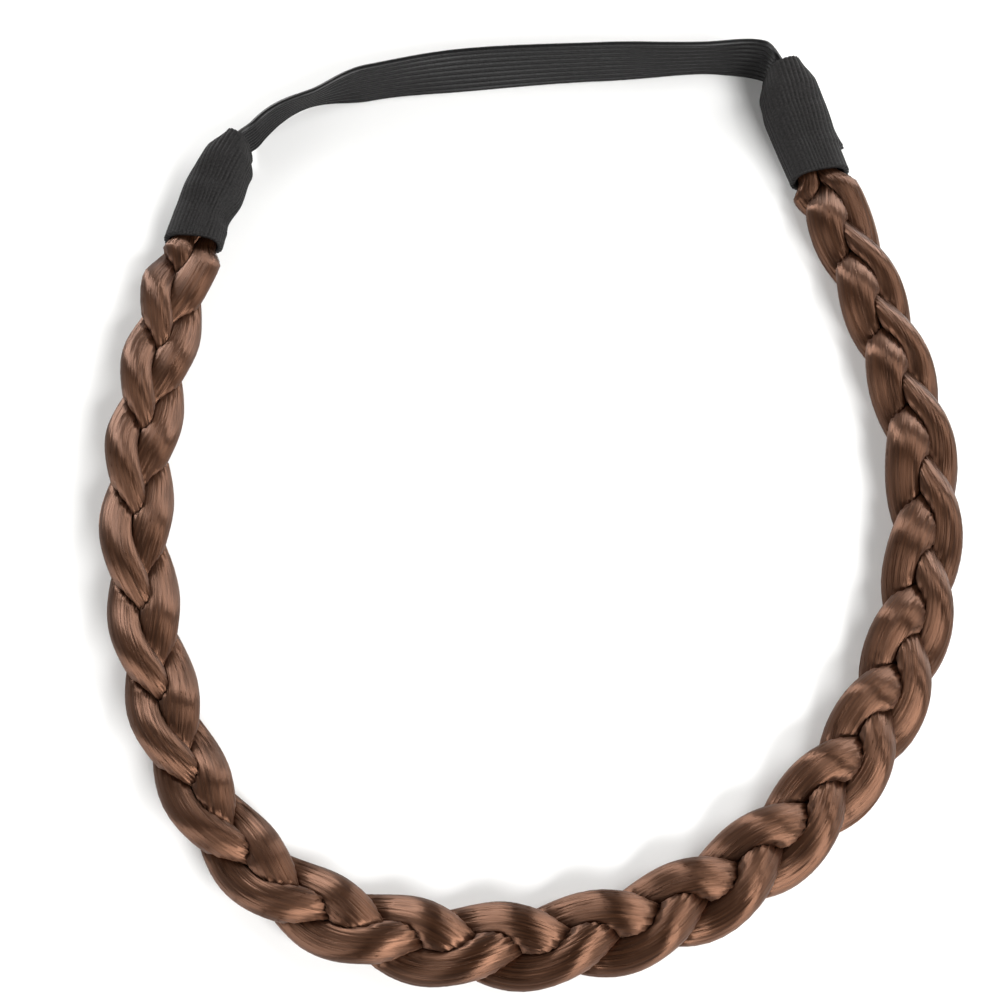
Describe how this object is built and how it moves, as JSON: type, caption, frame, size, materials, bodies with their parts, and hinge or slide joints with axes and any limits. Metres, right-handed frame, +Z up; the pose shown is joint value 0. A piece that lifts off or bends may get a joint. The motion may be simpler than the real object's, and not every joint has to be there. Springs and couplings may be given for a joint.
{
  "type": "braided hair headband",
  "caption": "Headband of braided synthetic hair whose ends are sewn into woven sleeves and joined at the back by a ribbed elastic strap; lies flat in its worn loop.",
  "frame": {"origin": "middle of the underside of the headband's box, on the surface that it rests on", "axes": "+Z up from the surface and along the head's way in; +Y from the plait's front to the strap at the back; +X to the wearer's left when the plait's front faces forward"},
  "size_m": [0.1542, 0.181, 0.0115],
  "materials": {
    "hair": "silky synthetic hair, chestnut brown, strong sheen across the fibres",
    "sleeve_cloth": "matt ribbed woven elastic, charcoal black",
    "strap_elastic": "ribbed woven elastic, charcoal black, faint sheen on the ribs"
  },
  "bodies": {
    "root": {"lock_1": "hair", "lock_2": "hair", "lock_3": "hair", "sleeve_left": "sleeve_cloth", "sleeve_right": "sleeve_cloth", "elastic_strap": "strap_elastic"}
  },
  "joints": []
}
